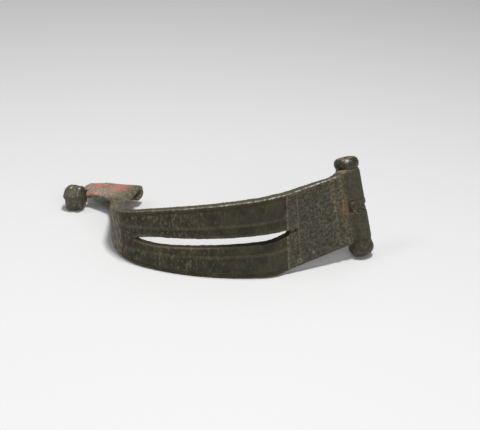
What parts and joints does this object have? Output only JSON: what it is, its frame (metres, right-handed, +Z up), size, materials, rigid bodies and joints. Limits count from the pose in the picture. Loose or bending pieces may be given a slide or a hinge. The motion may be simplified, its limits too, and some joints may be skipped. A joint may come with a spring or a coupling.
{
  "type": "fibula brooch",
  "caption": "Roman hinged strip-bow brooch of copper alloy with a slit bow, knobbed hinge bar, catch plate and foot knob, lying on its side, its pin lost.",
  "frame": {"origin": "on the resting surface, below the middle of the bounding box of the brooch as it lies on its side", "axes": "+X from the foot knob towards the hinge, +Y from the crest of the bow towards the line of the lost pin, +Z up off the surface, across the strip of the bow"},
  "size_m": [0.0634, 0.0266, 0.0189],
  "materials": {
    "bow_patina": "matt olive-brown archaeological patina, worn lighter along the edges",
    "knob_patina": "smooth dark olive patina with a low gloss",
    "rusted_iron": "matt rust-brown corrosion"
  },
  "bodies": {
    "root": {"brooch_body": "bow_patina", "hinge_knob_upper": "knob_patina", "hinge_knob_lower": "knob_patina", "hinge_axis_bar": "rusted_iron", "pin_head_remains": "rusted_iron", "foot_knob": "knob_patina"}
  },
  "joints": []
}
